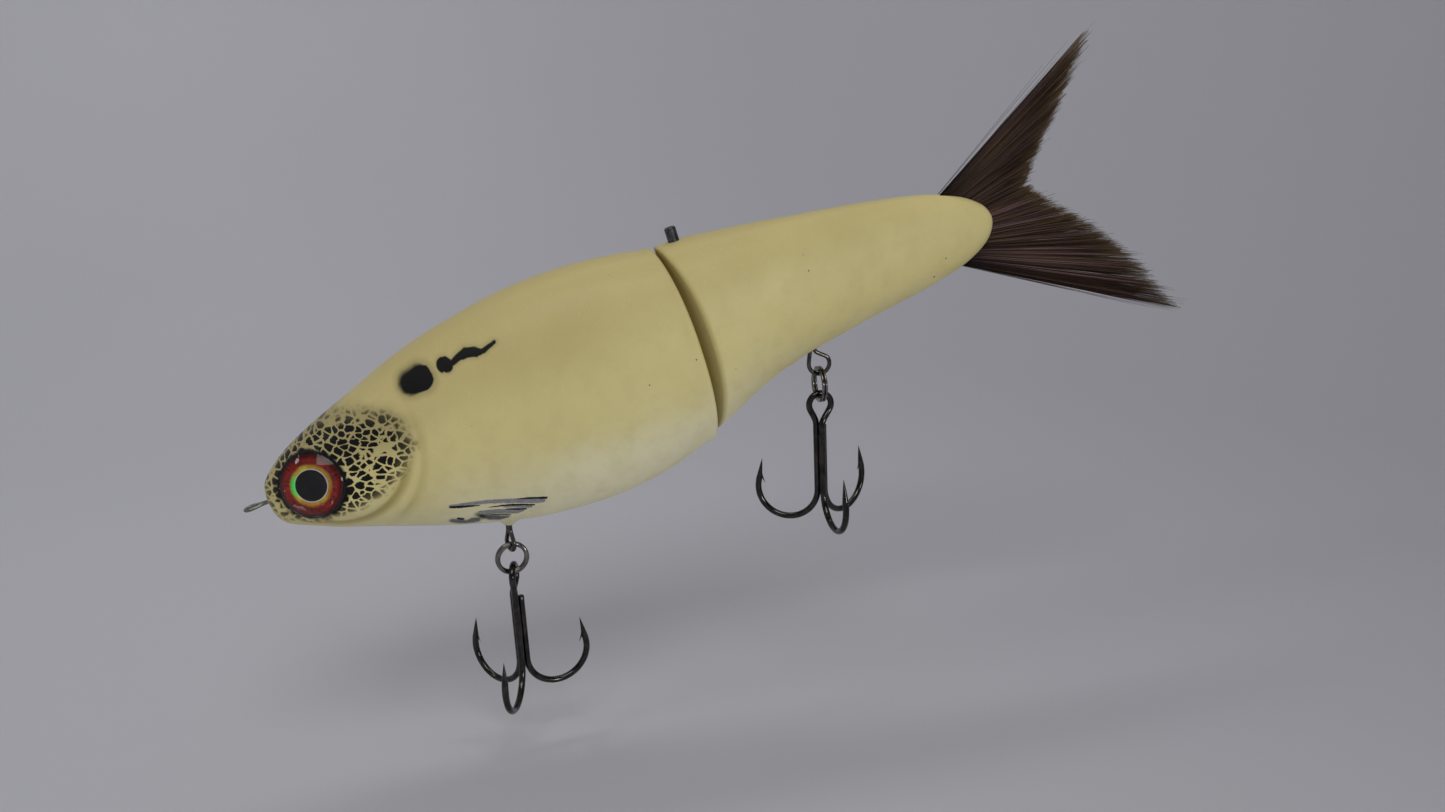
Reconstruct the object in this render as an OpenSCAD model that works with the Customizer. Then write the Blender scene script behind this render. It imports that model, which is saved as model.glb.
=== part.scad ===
// Two-piece jointed swimbait with a bristle tail and two swinging treble hooks.
// Millimetres, +Z up, nose towards -X. The origin is the centre of the line tie's eye.
// The body lies nose down by body_pitch; the rings and hooks hang straight down from it.

/* [Body] */
// Nose-down angle of the body's long axis, degrees
body_pitch = 14.6; // [8:0.2:20]
// Distance from the line tie's eye to the nose tip
nose_out = 5.2; // [4.6:0.1:7]
// Width of the body as a factor of its drawn width
width_factor = 1; // [0.95:0.01:1.1]

/* [Hinge] */
// Distance from the nose tip to the hinge pin
pin_u = 125.2; // [124.8:0.1:125.6]
// Diameter of the hinge pin
pin_d = 3.2; // [2.6:0.1:3.4]
// Height of the pin's top above the body axis
pin_top = 33.8; // [31:0.1:36]
// Height of the upper hinge eye above the body axis
upper_eye_w = 15; // [12:0.5:20]
// Height of the lower hinge eye above the body axis
lower_eye_w = -10; // [-14:0.5:-6]

/* [Eyes] */
// Diameter of each eye
eye_d = 17.6; // [16:0.1:18]
// Height of the clear dome over each eye
eye_dome = 3; // [2:0.1:4]

/* [Hooks] */
// Diameter of the hook wire
hook_wire = 1.9; // [1.6:0.1:2.1]
// Length of a treble from the top of its eye to the bottom of its bends
treble_length = 41.2; // [40:0.1:46]
// Radius from the shank's centre to the outside of a bend
treble_reach = 20.6; // [18:0.1:22]
// Outside diameter of the front split ring
front_ring_od = 9.7; // [8.8:0.1:10]
// Outside diameter of the rear split ring
rear_ring_od = 10.8; // [10:0.1:11.2]

/* [Tail brush] */
// Length of the upper lobe from the fan's focus
upper_lobe = 85; // [70:1:90]
// Length of the lower lobe from the fan's focus
lower_lobe = 101; // [80:1:104]
// Length at the notch between the lobes
notch_r = 46; // [38:1:50]

/* [Hidden] */

$fn = 48;
cut = 1;

// Body stations: [distance from the nose tip, belly height, back height, half width]
FRONT = [
    [0, -1.4, 2.4, 2.2], [0.6, -4.2, 4.8, 4.6], [2.3, -6.8, 7, 7], [5, -8.4, 9.2, 9],
    [9, -10.2, 11.7, 10.8], [14.5, -12.8, 14.4, 12.4], [22, -15.7, 17.4, 13.8],
    [30, -19, 20.4, 14.8], [38, -22.3, 23.6, 15.6], [48, -26.1, 26.9, 16.4],
    [58, -29.1, 29.4, 17], [68, -31.3, 31.3, 17.3], [78, -32.5, 32.6, 17.4],
    [87, -33, 33.1, 17.2], [97, -32.5, 32.9, 16.9], [105, -31.2, 32.1, 16.5],
    [111, -29.5, 31.2, 16.1]
];
TAIL = [
    [127, -22.5, 29.7, 15.2], [135.5, -18.7, 28.8, 14.2], [144, -15.8, 27.7, 13],
    [156, -13.2, 26, 11.4], [168, -11.4, 24.2, 9.9], [184, -9.4, 21.6, 7.9],
    [195, -7.8, 19.3, 6.7], [202, -6.4, 17.4, 6], [207, -5, 15.6, 5.5],
    [211, -3.2, 13.6, 5], [214, -1.2, 11.4, 4.5], [216, 1.2, 9.4, 3.7], [217, 3.4, 7.4, 2.6]
];
ring_points = 28;
section_power = 2.3;

// Joint faces: both bow forward towards the nose on the centre line
front_face_gap = 6.5;
tail_face_gap = 5.6;
front_face_bow = 0.01165;
tail_face_bow = 0.0204;
FRONT_END = [-28.2, 30.3, 15.6];
TAIL_END = [-25, 29.8, 15.5];

hanger_wire = 1.25;
ring_radial = 1.3;
ring_axial = 1.8;
link_gap = 0.35;
front_hanger_x = 66.4;
front_hanger_z = -22.1;
front_hanger_r = 2.2;
rear_hanger_x = 160.1;
rear_hanger_z = 19.4;
rear_hanger_r = 3.1;
hanger_stem_d = 1.9;
hanger_stem_top = 15;
stem_fit = 0.02;

front_ring_r = front_ring_od / 2 - ring_radial;
rear_ring_r = rear_ring_od / 2 - ring_radial;
hanger_drop = hanger_wire / 2 + link_gap;
eye_rise = hook_wire / 2 + link_gap;
front_ring_z = front_hanger_z + hanger_drop - front_ring_r;
rear_ring_z = rear_hanger_z + hanger_drop - rear_ring_r;
front_treble_z = front_ring_z - front_ring_r + eye_rise;
rear_treble_z = rear_ring_z - rear_ring_r + eye_rise;

treble_eye_r = 3.4;
shank_offset = 1.3;
knee_step = 0.08;
shank_top = -9.6;
single_hook_top = -10;
hook_bottom = -(treble_length - hook_wire);
bend_r = (treble_reach - shank_offset - hook_wire / 2) / 2;
bend_z = hook_bottom + bend_r;
point_lean = 10;
point_leg = 3.6;
point_taper = 4;
point_tip_d = 0.3;
front_hooks_turn = 11;
rear_hooks_turn = 31;

eye_u = 13.8;
eye_w = 3.1;
eye_v = 10.6;
eye_yaw = 14;
eye_tilt = 12;
foil_t = 0.5;
socket_fit = 0.2;
socket_depth = 0.1;

hinge_eye_wire = 1.6;
hinge_eye_bore = pin_d / 2 + 0.06;
hinge_eye_r = hinge_eye_bore + hinge_eye_wire;
hinge_stem = 20;
hinge_stem_d = 1.4;
hinge_stem_root = hinge_eye_bore + hinge_eye_wire / 2;
hinge_slot_half = hinge_eye_r + 0.7;
hinge_slot_h = hinge_eye_wire + 0.8;
pin_bottom = -19.5;

tie_wire = 0.9;
tie_r = 1.5;
tie_stem = 16;

// Ballast: [distance from the nose tip, bottom height, top height, diameter]
FRONT_LEAD = [44, -20, -8, 9];
MIDDLE_LEAD = [86, -29, -15, 10];
TAIL_LEAD = [146, -12.5, -4, 7];
lead_fit = 0.03;
plug_t = 2.4;

focus_u = 186;
focus_w = 5.9;
notch_angle = 6.5;
fan_half_angle = 29.8;
fan_power_upper = 1.8;
fan_power_lower = 1.65;
anchor_r0 = 14.2;
anchor_r1 = 16.8;
bristle_r0 = 17;
fan_t = 2.6;
slot_t = 3;
slot_half_angle = 32;
slot_reach = 40;
fan_steps = 10;

function sgn_pow(a, p) = sign(a) * pow(abs(a), p);

// One ring of body points; bow moves the ring's flanks back by bow * y * y
function ring(u, lo, hi, half, bow) = [
    for (i = [0 : ring_points - 1])
        let (
            a = 360 * i / ring_points,
            y = half * width_factor * sgn_pow(cos(a), 2 / section_power),
            z = (lo + hi) / 2 + (hi - lo) / 2 * sgn_pow(sin(a), 2 / section_power)
        )
        [u + bow * y * y, y, z]
];

function station_ring(s) = ring(s[0], s[1], s[2], s[3], 0);

// A ring of a joint face: inset in height, narrowed by a factor
function face_ring(u, end, inset, narrow, bow) =
    ring(u, end[0] + inset, end[1] - inset, (end[2] - inset) * narrow, bow);

function front_rings() = let (u = pin_u - front_face_gap) concat(
    [for (s = FRONT) station_ring(s)],
    [
        face_ring(u - 3.4, FRONT_END, 0, 1, front_face_bow * 0.8),
        face_ring(u - 1.5, FRONT_END, 0.4, 1, front_face_bow),
        face_ring(u - 0.4, FRONT_END, 1, 1, front_face_bow),
        face_ring(u, FRONT_END, 1.8, 1, front_face_bow),
        face_ring(u, FRONT_END, 2.2, 0.7, front_face_bow),
        face_ring(u, FRONT_END, 2.5, 0.35, front_face_bow),
        face_ring(u, FRONT_END, 2.8, 0.03, front_face_bow)
    ]
);

function tail_rings() = let (u = pin_u - tail_face_gap) concat(
    [
        face_ring(u, TAIL_END, 0.9, 0.03, tail_face_bow),
        face_ring(u, TAIL_END, 0.7, 0.35, tail_face_bow),
        face_ring(u, TAIL_END, 0.5, 0.7, tail_face_bow),
        face_ring(u, TAIL_END, 0.3, 1, tail_face_bow),
        face_ring(u + 0.5, TAIL_END, 0, 1, tail_face_bow)
    ],
    [for (s = TAIL) station_ring(s)]
);

// A closed skin over a list of rings, with a fan on each end
module loft(rings) {
    n = ring_points;
    count = len(rings);
    last = (count - 1) * n;
    first_mid = [for (k = [0 : 2]) (rings[0][0][k] + rings[0][n / 2][k]) / 2];
    last_mid = [for (k = [0 : 2]) (rings[count - 1][0][k] + rings[count - 1][n / 2][k]) / 2];
    points = concat([for (r = rings) each r], [first_mid, last_mid]);
    sides = [
        for (j = [0 : count - 2], i = [0 : n - 1], half = [0, 1])
            let (a = j * n + i, b = j * n + (i + 1) % n)
            half == 0 ? [a, b, b + n] : [a, b + n, a + n]
    ];
    start = [for (i = [0 : n - 1]) [(i + 1) % n, i, count * n]];
    end = [for (i = [0 : n - 1]) [last + i, last + (i + 1) % n, count * n + 1]];
    polyhedron(points = points, faces = concat(sides, start, end), convexity = 6);
}

// The body's own axes: nose tip at the origin, long axis along +X
module in_body() {
    rotate([0, -body_pitch, 0])
        translate([nose_out, 0, 0])
            children();
}

// A round rod between two points
module rod(a, b, d) {
    v = b - a;
    flat = norm([v[0], v[1]]);
    translate(a)
        rotate([0, atan2(flat, v[2]), atan2(v[1], v[0])])
            cylinder(h = norm(v), d = d);
}

// A wire ring lying in the XY plane
module wire_ring(r, d) {
    rotate_extrude()
        translate([r, 0])
            circle(d = d);
}

module in_eye() {
    translate([eye_u, -eye_v, eye_w])
        rotate([0, 0, -eye_yaw])
            rotate([90 - eye_tilt, 0, 0])
                children();
}

module left_side() {
    in_body()
        in_eye()
            children();
}

module right_side() {
    mirror([0, 1, 0])
        left_side()
            children();
}

module eye_socket() {
    in_eye()
        translate([0, 0, -socket_depth])
            cylinder(h = eye_d, d = eye_d + socket_fit);
}

module lead_bore(lead) {
    translate([lead[0], 0, lead[1] - eye_d])
        cylinder(h = lead[2] - lead[1] + eye_d + lead_fit, d = lead[3] + 2 * lead_fit);
}

module lead_slug(lead) {
    color("dimgray")
        in_body()
            translate([lead[0], 0, lead[1]])
                cylinder(h = lead[2] - lead[1], d = lead[3]);
}

module lead_plug(lead) {
    color("wheat")
        in_body()
            translate([lead[0], 0, lead[1] - plug_t - lead_fit])
                cylinder(h = plug_t, d = lead[3]);
}

module hanger_bore(x, z, r) {
    translate([x, 0, z + r])
        cylinder(h = r + hanger_stem_top, d = hanger_stem_d + 2 * stem_fit);
}

module hinge_stem_bore(w) {
    translate([pin_u - hinge_stem - stem_fit, 0, w])
        rotate([0, 90, 0])
            cylinder(h = hinge_stem, d = hinge_stem_d + 2 * stem_fit);
}

module front_body() {
    color([0.93, 0.88, 0.68])
        difference() {
            in_body()
                difference() {
                    loft(front_rings());
                    eye_socket();
                    mirror([0, 1, 0]) eye_socket();
                    hinge_stem_bore(upper_eye_w);
                    hinge_stem_bore(lower_eye_w);
                    lead_bore(FRONT_LEAD);
                    lead_bore(MIDDLE_LEAD);
                    translate([-cut, 0, 0])
                        rotate([0, 90, 0])
                            cylinder(h = tie_stem - nose_out + cut, d = tie_d() + 2 * stem_fit);
                }
            hanger_bore(front_hanger_x, front_hanger_z, front_hanger_r);
        }
}

module hinge_slot(w) {
    translate([0, 0, w - hinge_slot_h / 2]) {
        translate([pin_u, 0, 0])
            cylinder(h = hinge_slot_h, r = hinge_slot_half);
        translate([pin_u - tail_face_gap - cut, -hinge_slot_half, 0])
            cube([tail_face_gap + cut, 2 * hinge_slot_half, hinge_slot_h]);
    }
}

module brush_slot() {
    rise = slot_reach * tan(slot_half_angle);
    translate([focus_u, slot_t / 2, focus_w])
        rotate([90, 0, 0])
            linear_extrude(slot_t)
                difference() {
                    polygon([[0, 0], [slot_reach, -rise], [slot_reach, rise]]);
                    circle(r = anchor_r0 - 0.1);
                }
}

module tail_body() {
    color([0.94, 0.9, 0.72])
        difference() {
            in_body()
                difference() {
                    loft(tail_rings());
                    hinge_slot(upper_eye_w);
                    hinge_slot(lower_eye_w);
                    translate([pin_u, 0, pin_bottom - stem_fit])
                        cylinder(h = pin_top - pin_bottom, d = pin_d + 2 * stem_fit);
                    lead_bore(TAIL_LEAD);
                    brush_slot();
                }
            hanger_bore(rear_hanger_x, rear_hanger_z, rear_hanger_r);
        }
}

module hinge_pin() {
    color("dimgray")
        in_body()
            translate([pin_u, 0, pin_bottom])
                cylinder(h = pin_top - pin_bottom, d = pin_d);
}

module hinge_eye(w) {
    color("silver")
        in_body()
            translate([pin_u, 0, w])
                difference() {
                    union() {
                        translate([0, 0, -hinge_eye_wire / 2])
                            cylinder(h = hinge_eye_wire, r = hinge_eye_r);
                        rod([-hinge_stem, 0, 0], [-hinge_stem_root, 0, 0], hinge_stem_d);
                    }
                    cylinder(h = 2 * hinge_eye_r, r = hinge_eye_bore, center = true);
                }
}

module upper_hinge_eye() {
    hinge_eye(upper_eye_w);
}

module lower_hinge_eye() {
    hinge_eye(lower_eye_w);
}

function tie_d() = 2 * tie_wire;

// A closed eye whose two wire ends run back together into the nose
module line_tie() {
    color("silver")
        rotate([0, -body_pitch, 0]) {
            wire_ring(tie_r, tie_wire);
            rod([tie_r, 0, 0], [tie_stem - stem_fit, 0, 0], tie_d());
        }
}

module eye_foil() {
    color("firebrick")
        cylinder(h = foil_t, d = eye_d);
}

module eye_lens() {
    sphere_r = (eye_d * eye_d / 4 + eye_dome * eye_dome) / (2 * eye_dome);
    color([0.9, 0.95, 1, 0.5])
        translate([0, 0, foil_t])
            intersection() {
                translate([0, 0, eye_dome - sphere_r]) sphere(r = sphere_r);
                cylinder(h = eye_dome + cut, d = eye_d);
            }
}

module left_eye_foil() {
    left_side() eye_foil();
}

module right_eye_foil() {
    right_side() eye_foil();
}

module left_eye_lens() {
    left_side() eye_lens();
}

module right_eye_lens() {
    right_side() eye_lens();
}

// Hanger at the middle of its loop's bottom wire; its loop lies across the body
module hanger(r) {
    color("dimgray")
        translate([0, 0, r]) {
            rotate([0, 90, 0])
                wire_ring(r, hanger_wire);
            rod([0, 0, r - hanger_wire / 4], [0, 0, r + hanger_stem_top - cut], hanger_stem_d);
        }
}

module front_hanger() {
    translate([front_hanger_x, 0, front_hanger_z])
        hanger(front_hanger_r);
}

module rear_hanger() {
    translate([rear_hanger_x, 0, rear_hanger_z])
        rotate([0, 0, 90])
            hanger(rear_hanger_r);
}

module split_ring(r) {
    color("gray")
        rotate([90, 0, 0])
            rotate_extrude()
                translate([r, -ring_axial / 2])
                    square([ring_radial, ring_axial]);
}

module front_split_ring() {
    translate([front_hanger_x, 0, front_ring_z])
        split_ring(front_ring_r);
}

module rear_split_ring() {
    translate([rear_hanger_x, 0, rear_ring_z])
        rotate([0, 0, 90])
            split_ring(rear_ring_r);
}

// One hook along +X: shank, bend, leg and tapered point
module hook(top) {
    x = shank_offset + 2 * bend_r;
    rod([shank_offset, 0, bend_z], [shank_offset, 0, top], hook_wire);
    translate([shank_offset + bend_r, 0, bend_z])
        rotate([90, 0, 0])
            rotate_extrude(angle = 180 + point_lean, start = 180)
                translate([bend_r, 0])
                    circle(d = hook_wire);
    translate([shank_offset + bend_r, 0, bend_z])
        rotate([0, -point_lean, 0])
            translate([bend_r, 0, 0]) {
                cylinder(h = point_leg, d = hook_wire);
                translate([0, 0, point_leg])
                    cylinder(h = point_taper, d1 = hook_wire, d2 = point_tip_d);
            }
}

// The wire that makes two hooks and the eye; the eye lies in the XZ plane
module double_hook(turn_a, turn_b) {
    side = treble_eye_r * 0.94;
    low = -treble_eye_r * 1.34;
    translate([0, 0, -treble_eye_r])
        rotate([90, 0, 0])
            wire_ring(treble_eye_r, hook_wire);
    for (leg = [[turn_a, side], [turn_b, -side]]) {
        foot = [shank_offset * cos(leg[0]), shank_offset * sin(leg[0]), shank_top];
        rotate([0, 0, leg[0]]) hook(shank_top);
        rod(foot, [leg[1], 0, low], hook_wire - knee_step);
        translate(foot) sphere(d = hook_wire + knee_step);
    }
}

module front_treble() {
    translate([front_hanger_x, 0, front_treble_z])
        rotate([0, 0, 90])
            children();
}

module rear_treble() {
    translate([rear_hanger_x, 0, rear_treble_z])
        children();
}

module front_treble_double_hook() {
    color("dimgray")
        front_treble()
            double_hook(front_hooks_turn + 30, front_hooks_turn + 150);
}

module front_treble_single_hook() {
    color("dimgray")
        front_treble()
            rotate([0, 0, front_hooks_turn - 90])
                hook(single_hook_top);
}

module rear_treble_double_hook() {
    color("dimgray")
        rear_treble()
            double_hook(rear_hooks_turn - 120, rear_hooks_turn + 120);
}

module rear_treble_single_hook() {
    color("dimgray")
        rear_treble()
            rotate([0, 0, rear_hooks_turn])
                hook(single_hook_top);
}

function polar(r, a) = [r * cos(a), r * sin(a)];

function lobe_r(t, tip, power) = notch_r + (tip - notch_r) * pow(t, power);

// A flat fan of bristles between the notch and the angle edge
module bristle_fan(edge, tip, power, colour) {
    start = notch_angle + sign(edge) * 0.4;
    inner = [for (k = [0 : fan_steps]) polar(bristle_r0, start + (edge - start) * k / fan_steps)];
    outer = [
        for (k = [fan_steps : -1 : 0])
            polar(lobe_r(k / fan_steps, tip, power), start + (edge - start) * k / fan_steps)
    ];
    color(colour)
        in_body()
            translate([focus_u, fan_t / 2, focus_w])
                rotate([90, 0, 0])
                    linear_extrude(fan_t)
                        polygon(concat(inner, outer));
}

module upper_bristles() {
    bristle_fan(fan_half_angle, upper_lobe, fan_power_upper, [0.25, 0.17, 0.17]);
}

module lower_bristles() {
    bristle_fan(-fan_half_angle, lower_lobe, fan_power_lower, [0.28, 0.19, 0.19]);
}

// The bound and glued root that holds both lobes in the tail's slot
module bristle_anchor() {
    arc = [for (k = [0 : fan_steps]) -fan_half_angle + 2 * fan_half_angle * k / fan_steps];
    inner = [for (a = arc) polar(anchor_r0, a)];
    outer = [for (k = [fan_steps : -1 : 0]) polar(anchor_r1, arc[k])];
    color("black")
        in_body()
            translate([focus_u, fan_t / 2, focus_w])
                rotate([90, 0, 0])
                    linear_extrude(fan_t)
                        polygon(concat(inner, outer));
}

module front_ballast() {
    lead_slug(FRONT_LEAD);
}

module middle_ballast() {
    lead_slug(MIDDLE_LEAD);
}

module tail_ballast() {
    lead_slug(TAIL_LEAD);
}

module front_ballast_plug() {
    lead_plug(FRONT_LEAD);
}

module middle_ballast_plug() {
    lead_plug(MIDDLE_LEAD);
}

module tail_ballast_plug() {
    lead_plug(TAIL_LEAD);
}

front_body();
tail_body();
hinge_pin();
upper_hinge_eye();
lower_hinge_eye();
line_tie();
left_eye_foil();
right_eye_foil();
left_eye_lens();
right_eye_lens();
front_hanger();
rear_hanger();
front_split_ring();
rear_split_ring();
front_treble_double_hook();
front_treble_single_hook();
rear_treble_double_hook();
rear_treble_single_hook();
front_ballast();
middle_ballast();
tail_ballast();
front_ballast_plug();
middle_ballast_plug();
tail_ballast_plug();
bristle_anchor();
upper_bristles();
lower_bristles();
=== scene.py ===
"""Looks of a two-piece jointed swimbait: painted skins, eyes, wire parts, hooks and a bristle tail."""

import functools
import math
import random

import bmesh
import bpy
import numpy as np
from mathutils import Matrix, Vector


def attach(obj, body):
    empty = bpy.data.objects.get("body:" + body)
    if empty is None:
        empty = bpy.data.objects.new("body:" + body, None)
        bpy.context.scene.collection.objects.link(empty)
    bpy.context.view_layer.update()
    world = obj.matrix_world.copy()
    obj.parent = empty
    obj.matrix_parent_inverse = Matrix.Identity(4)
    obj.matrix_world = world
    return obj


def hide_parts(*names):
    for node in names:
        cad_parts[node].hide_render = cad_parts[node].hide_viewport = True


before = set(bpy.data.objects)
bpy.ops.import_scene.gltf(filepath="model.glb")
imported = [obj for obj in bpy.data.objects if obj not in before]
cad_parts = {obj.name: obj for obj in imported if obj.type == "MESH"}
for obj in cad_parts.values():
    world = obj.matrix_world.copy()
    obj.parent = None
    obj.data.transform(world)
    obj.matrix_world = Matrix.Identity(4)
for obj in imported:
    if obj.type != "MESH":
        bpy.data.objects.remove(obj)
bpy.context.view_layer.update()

# ---------------------------------------------------------------- the part's own values, millimetres

MM = 0.001
PITCH = math.radians(14.6)
NOSE_OUT = 5.2
BODY = Matrix.Rotation(-PITCH, 4, "Y") @ Matrix.Translation((NOSE_OUT * MM, 0, 0))

# Body stations: distance from the nose tip, belly height, back height, half width
NOSE_CAP = [(-0.2, 0.5, 0.5, 0)]
FRONT = [
    (0, -1.4, 2.4, 2.2), (0.6, -4.2, 4.8, 4.6), (2.3, -6.8, 7, 7), (5, -8.4, 9.2, 9),
    (9, -10.2, 11.7, 10.8), (14.5, -12.8, 14.4, 12.4), (22, -15.7, 17.4, 13.8),
    (30, -19, 20.4, 14.8), (38, -22.3, 23.6, 15.6), (48, -26.1, 26.9, 16.4),
    (58, -29.1, 29.4, 17), (68, -31.3, 31.3, 17.3), (78, -32.5, 32.6, 17.4),
    (87, -33, 33.1, 17.2), (97, -32.5, 32.9, 16.9), (105, -31.2, 32.1, 16.5),
    (111, -29.5, 31.2, 16.1),
]
TAIL = [
    (127, -22.5, 29.7, 15.2), (135.5, -18.7, 28.8, 14.2), (144, -15.8, 27.7, 13),
    (156, -13.2, 26, 11.4), (168, -11.4, 24.2, 9.9), (184, -9.4, 21.6, 7.9),
    (195, -7.8, 19.3, 6.7), (202, -6.4, 17.4, 6), (207, -5, 15.6, 5.5),
    (211, -3.2, 13.6, 5), (214, -1.2, 11.4, 4.5), (216, 1.2, 9.4, 3.7), (217, 3.4, 7.4, 2.6),
]
TAIL_CAP = [(217.6, 5.4, 5.4, 0)]
SECTION_POWER = 2.3
PIN_U = 125.2
PIN_D = 3.2
PIN_BOTTOM = -19.5
PIN_TOP = 33.8
FRONT_FACE = PIN_U - 6.5
TAIL_FACE = PIN_U - 5.6
FRONT_BOW = 0.01165
TAIL_BOW = 0.0204
FRONT_END = (-28.2, 30.3, 15.6)
TAIL_END = (-25, 29.8, 15.5)

HINGE_HEIGHTS = (15, -10)
HINGE_SLOT_HALF = 3.96
HINGE_SLOT_H = 2.4

COLLAR_U = 56.2
COLLAR_H = 2.6
COLLAR_R = 2.7

EYE_CENTRE = (13.8, -10.6, 3.1)
EYE_R = 8.8
EYE_DOME = 3
EYE_YAW = math.radians(14)
EYE_TILT = math.radians(12)
FOIL_T = 0.5
SOCKET_R = 8.9

HANGER_WIRE = 1.25
RING_RADIAL = 1.3
RING_AXIAL = 1.8
HOOK_WIRE = 1.9
LINK_GAP = 0.35

# Hangers: x and z of the bottom wire's centre, and the loop's radius
FRONT_HANGER = (66.4, -22.1, 2.2)
REAR_HANGER = (160.1, 19.4, 3.1)
FRONT_RING_R = 9.7 / 2 - RING_RADIAL
REAR_RING_R = 10.8 / 2 - RING_RADIAL
FRONT_RING_Z = FRONT_HANGER[1] + HANGER_WIRE / 2 + LINK_GAP - FRONT_RING_R
REAR_RING_Z = REAR_HANGER[1] + HANGER_WIRE / 2 + LINK_GAP - REAR_RING_R
FRONT_TREBLE_Z = FRONT_RING_Z - FRONT_RING_R + HOOK_WIRE / 2 + LINK_GAP
REAR_TREBLE_Z = REAR_RING_Z - REAR_RING_R + HOOK_WIRE / 2 + LINK_GAP
TREBLE_LENGTH = 41.2
TREBLE_REACH = 20.6
TREBLE_EYE_R = 3.4
SHANK_OFFSET = 1.3
SHANK_TOP = -9.6
SINGLE_HOOK_TOP = -10
BEND_R = (TREBLE_REACH - SHANK_OFFSET - HOOK_WIRE / 2) / 2
BEND_Z = HOOK_WIRE - TREBLE_LENGTH + BEND_R
POINT_LEAN = math.radians(10)
POINT_LENGTH = 7.6

# Turns about the vertical, degrees: hangers, rings, then trebles and their hooks (two joined, one brazed on)
FRONT_HANGER_TURN = 114
REAR_HANGER_TURN = -5
FRONT_RING_TURN = 10
REAR_RING_TURN = 90
FRONT_TREBLE_TURN = 77
REAR_TREBLE_TURN = 0
FRONT_HOOKS = (54, 174, -66)
REAR_HOOKS = (-89, 151, 31)

FOCUS = (186, 5.9)
NOTCH_R = 46.7
NOTCH_ANGLE = 6.5
FAN_HALF_ANGLE = 29.8
UPPER_LOBE = (85.5, 1.75)
LOWER_LOBE = (102, 1.62)
FAN_T = 2.6
ROOT_R = 14.6
STRAY_ROOT_R = 17.5
STRAY_FIBRES = 7
BRUSH_SLOT_T = 3
BRUSH_SLOT_HALF = math.radians(32)
BRUSH_SLOT_R0 = 14.1
BRUSH_SLOT_REACH = 40

FLOOR_Z = -85

PAINT_BUMP = (0.35, 0.00022)

# ---------------------------------------------------------------- mesh helpers


def spline(knots, values):
    """Natural cubic spline through rows of values; returns a function of the knot parameter."""
    knots = np.asarray(knots, float)
    values = np.asarray(values, float)
    count = len(knots)
    step = np.diff(knots)
    slope = np.diff(values, axis=0) / step[:, None]
    system = np.eye(count)
    right = np.zeros_like(values)
    for i in range(1, count - 1):
        system[i, i - 1 : i + 2] = step[i - 1], 2 * (step[i - 1] + step[i]), step[i]
        right[i] = 6 * (slope[i] - slope[i - 1])
    bend = np.linalg.solve(system, right)

    def at(x):
        i = np.clip(np.searchsorted(knots, x) - 1, 0, count - 2)
        h = step[i][:, None]
        a = (knots[i + 1] - x)[:, None] / h
        b = 1 - a
        curve = (a**3 - a) * bend[i] + (b**3 - b) * bend[i + 1]
        return a * values[i] + b * values[i + 1] + curve * h * h / 6

    return at


def signed_power(a, p):
    return np.sign(a) * np.abs(a) ** p


def rise(x, low, high):
    """Smooth step from 0 at low to 1 at high."""
    t = np.clip((x - low) / (high - low), 0, 1)
    return t * t * (3 - 2 * t)


def skin_grid(rows, count):
    """Points of a skin: one superellipse ring for each row (u, low, high, half width, bow)."""
    u, low, high, half, bow = (c[:, None] for c in np.asarray(rows, float).T)
    a = np.linspace(0, 2 * math.pi, count, endpoint=False)[None, :]
    y = half * signed_power(np.cos(a), 2 / SECTION_POWER)
    w = (low + high) / 2 + (high - low) / 2 * signed_power(np.sin(a), 2 / SECTION_POWER)
    return np.stack([u + bow * y * y, y, w], axis=2)


def grid_normals(grid):
    along = np.gradient(grid, axis=0)
    around = np.roll(grid, -1, axis=1) - np.roll(grid, 1, axis=1)
    normal = np.cross(around, along)
    length = np.linalg.norm(normal, axis=2, keepdims=True)
    return normal / np.maximum(length, 1e-9)


def ring_faces(rows, count):
    """Faces between neighbouring rings, each of so many points."""
    faces = []
    for j in range(rows - 1):
        for i in range(count):
            k = (i + 1) % count
            faces.append((j * count + i, j * count + k, (j + 1) * count + k, (j + 1) * count + i))
    return faces


def grid_mesh(grid):
    """Vertices and faces of a tube-like grid, closed with a fan on each end."""
    rows, count = grid.shape[:2]
    verts = [tuple(p) for p in grid.reshape(-1, 3)]
    faces = ring_faces(rows, count)
    for row, flip in ((0, True), (rows - 1, False)):
        centre = len(verts)
        verts.append(tuple(grid[row].mean(axis=0)))
        for i in range(count):
            a, b = row * count + i, row * count + (i + 1) % count
            faces.append((b, a, centre) if flip else (a, b, centre))
    return verts, faces


def sweep(path, radii, sides=16, flat=1.0, first=(0.31, 0.87, 0.38)):
    """A tube along a path; flat squashes the section across the frame's first axis."""
    path = np.asarray(path, float)
    count = len(path)
    radii = np.full(count, radii, float) if np.isscalar(radii) else np.asarray(radii, float)
    tangent = np.gradient(path, axis=0)
    tangent /= np.linalg.norm(tangent, axis=1, keepdims=True)
    start = np.array(first, float)
    angle = np.linspace(0, 2 * math.pi, sides, endpoint=False)
    rings = []
    for p, t, r in zip(path, tangent, radii):
        start = start - t * (start @ t)
        start /= np.linalg.norm(start)
        other = np.cross(t, start)
        spoke = np.outer(np.cos(angle) * flat, start) + np.outer(np.sin(angle), other)
        rings.append(p + r * spoke)
    return grid_mesh(np.array(rings))


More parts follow.
